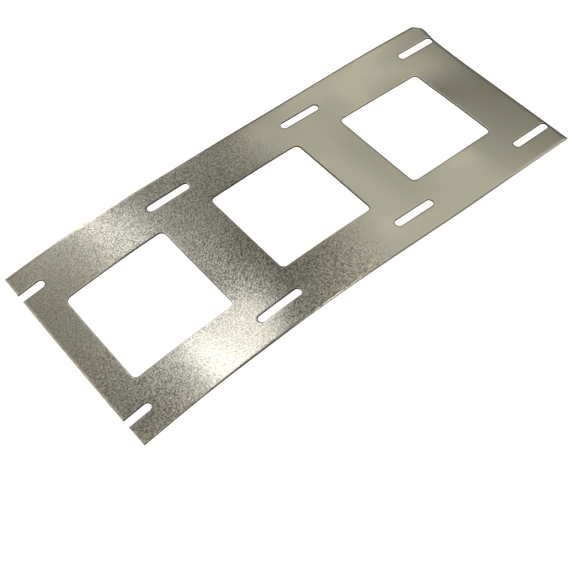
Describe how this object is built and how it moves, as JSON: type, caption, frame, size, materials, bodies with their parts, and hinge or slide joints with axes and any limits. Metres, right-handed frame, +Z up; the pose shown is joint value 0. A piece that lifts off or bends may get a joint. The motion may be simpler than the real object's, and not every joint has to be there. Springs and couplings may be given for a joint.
{
  "type": "nickel strip",
  "caption": "Thin perforated nickel strip that spot-welds across battery cells, with square windows and weld slots, slightly bowed.",
  "frame": {"origin": "Middle of the strip's outline box in plan, on the level floor that it rests on.", "axes": "+X runs along the strip towards the end cut clear of its slots, +Y across the strip, +Z up."},
  "size_m": [0.0644, 0.0268, 0.0026],
  "materials": {
    "nickel": "dull rolled nickel, warm grey, unpolished, with a fine grain"
  },
  "bodies": {
    "root": {"nickel_strip": "nickel"}
  },
  "joints": []
}
